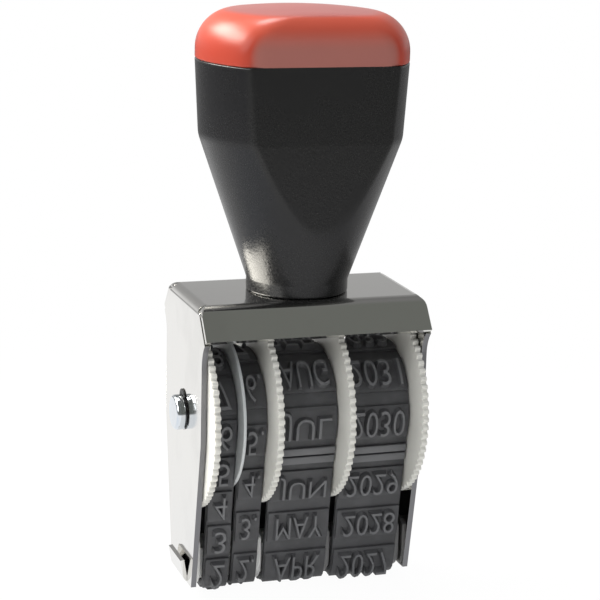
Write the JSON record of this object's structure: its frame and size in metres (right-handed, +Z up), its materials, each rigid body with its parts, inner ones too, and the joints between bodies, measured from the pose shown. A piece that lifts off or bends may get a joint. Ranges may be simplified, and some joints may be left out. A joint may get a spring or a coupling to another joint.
{
  "type": "date stamp",
  "caption": "Hand-held date stamp: steel yoke with a capped plastic handle, toothed thumb wheels on an axle, and rubber type bands that run under a print bridge.",
  "frame": {"origin": "middle of the print plane, under the handle's axis", "axes": "+Z up along the handle, +X along the axle from the first day band to the year band, -Y towards the person who reads the bands"},
  "size_m": [0.0374, 0.0284, 0.087],
  "materials": {
    "nickel": "bright nickel plate with fine rolling marks",
    "steel": "plain zinc-plated",
    "brass": "machined",
    "black_plastic": "moulded, finely grained, half gloss",
    "red_plastic": "moulded, glossy",
    "black_steel": "blackened spring steel",
    "ivory_plastic": "moulded, satin",
    "white_plastic": "moulded, satin",
    "rubber": "moulded, matt"
  },
  "bodies": {
    "stamp": {"frame": "nickel", "handle_body": "black_plastic", "handle_cap": "red_plastic", "handle_insert": "brass", "handle_screw": "steel", "screw_washer": "steel", "axle": "nickel", "axle_clip_left": "black_steel", "axle_clip_right": "black_steel", "day_divider": "white_plastic", "day_tens_band": "rubber", "day_units_band": "rubber", "month_band": "rubber", "year_band": "rubber", "print_bridge": "white_plastic", "bridge_strip": "nickel"},
    "day_tens": {"day_tens_wheel": "ivory_plastic"},
    "day_units": {"day_units_wheel": "ivory_plastic"},
    "month": {"month_wheel": "ivory_plastic"},
    "year": {"year_wheel": "ivory_plastic"}
  },
  "joints": [
    {"name": "day_tens_spin", "type": "hinge", "parent": "stamp", "child": "day_tens", "pos_m": [0, 0, 0.0277], "axis": [1, 0, 0], "continuous": true},
    {"name": "day_units_spin", "type": "hinge", "parent": "stamp", "child": "day_units", "pos_m": [0, 0, 0.0277], "axis": [1, 0, 0], "continuous": true},
    {"name": "month_spin", "type": "hinge", "parent": "stamp", "child": "month", "pos_m": [0, 0, 0.0277], "axis": [1, 0, 0], "continuous": true},
    {"name": "year_spin", "type": "hinge", "parent": "stamp", "child": "year", "pos_m": [0, 0, 0.0277], "axis": [1, 0, 0], "continuous": true}
  ]
}
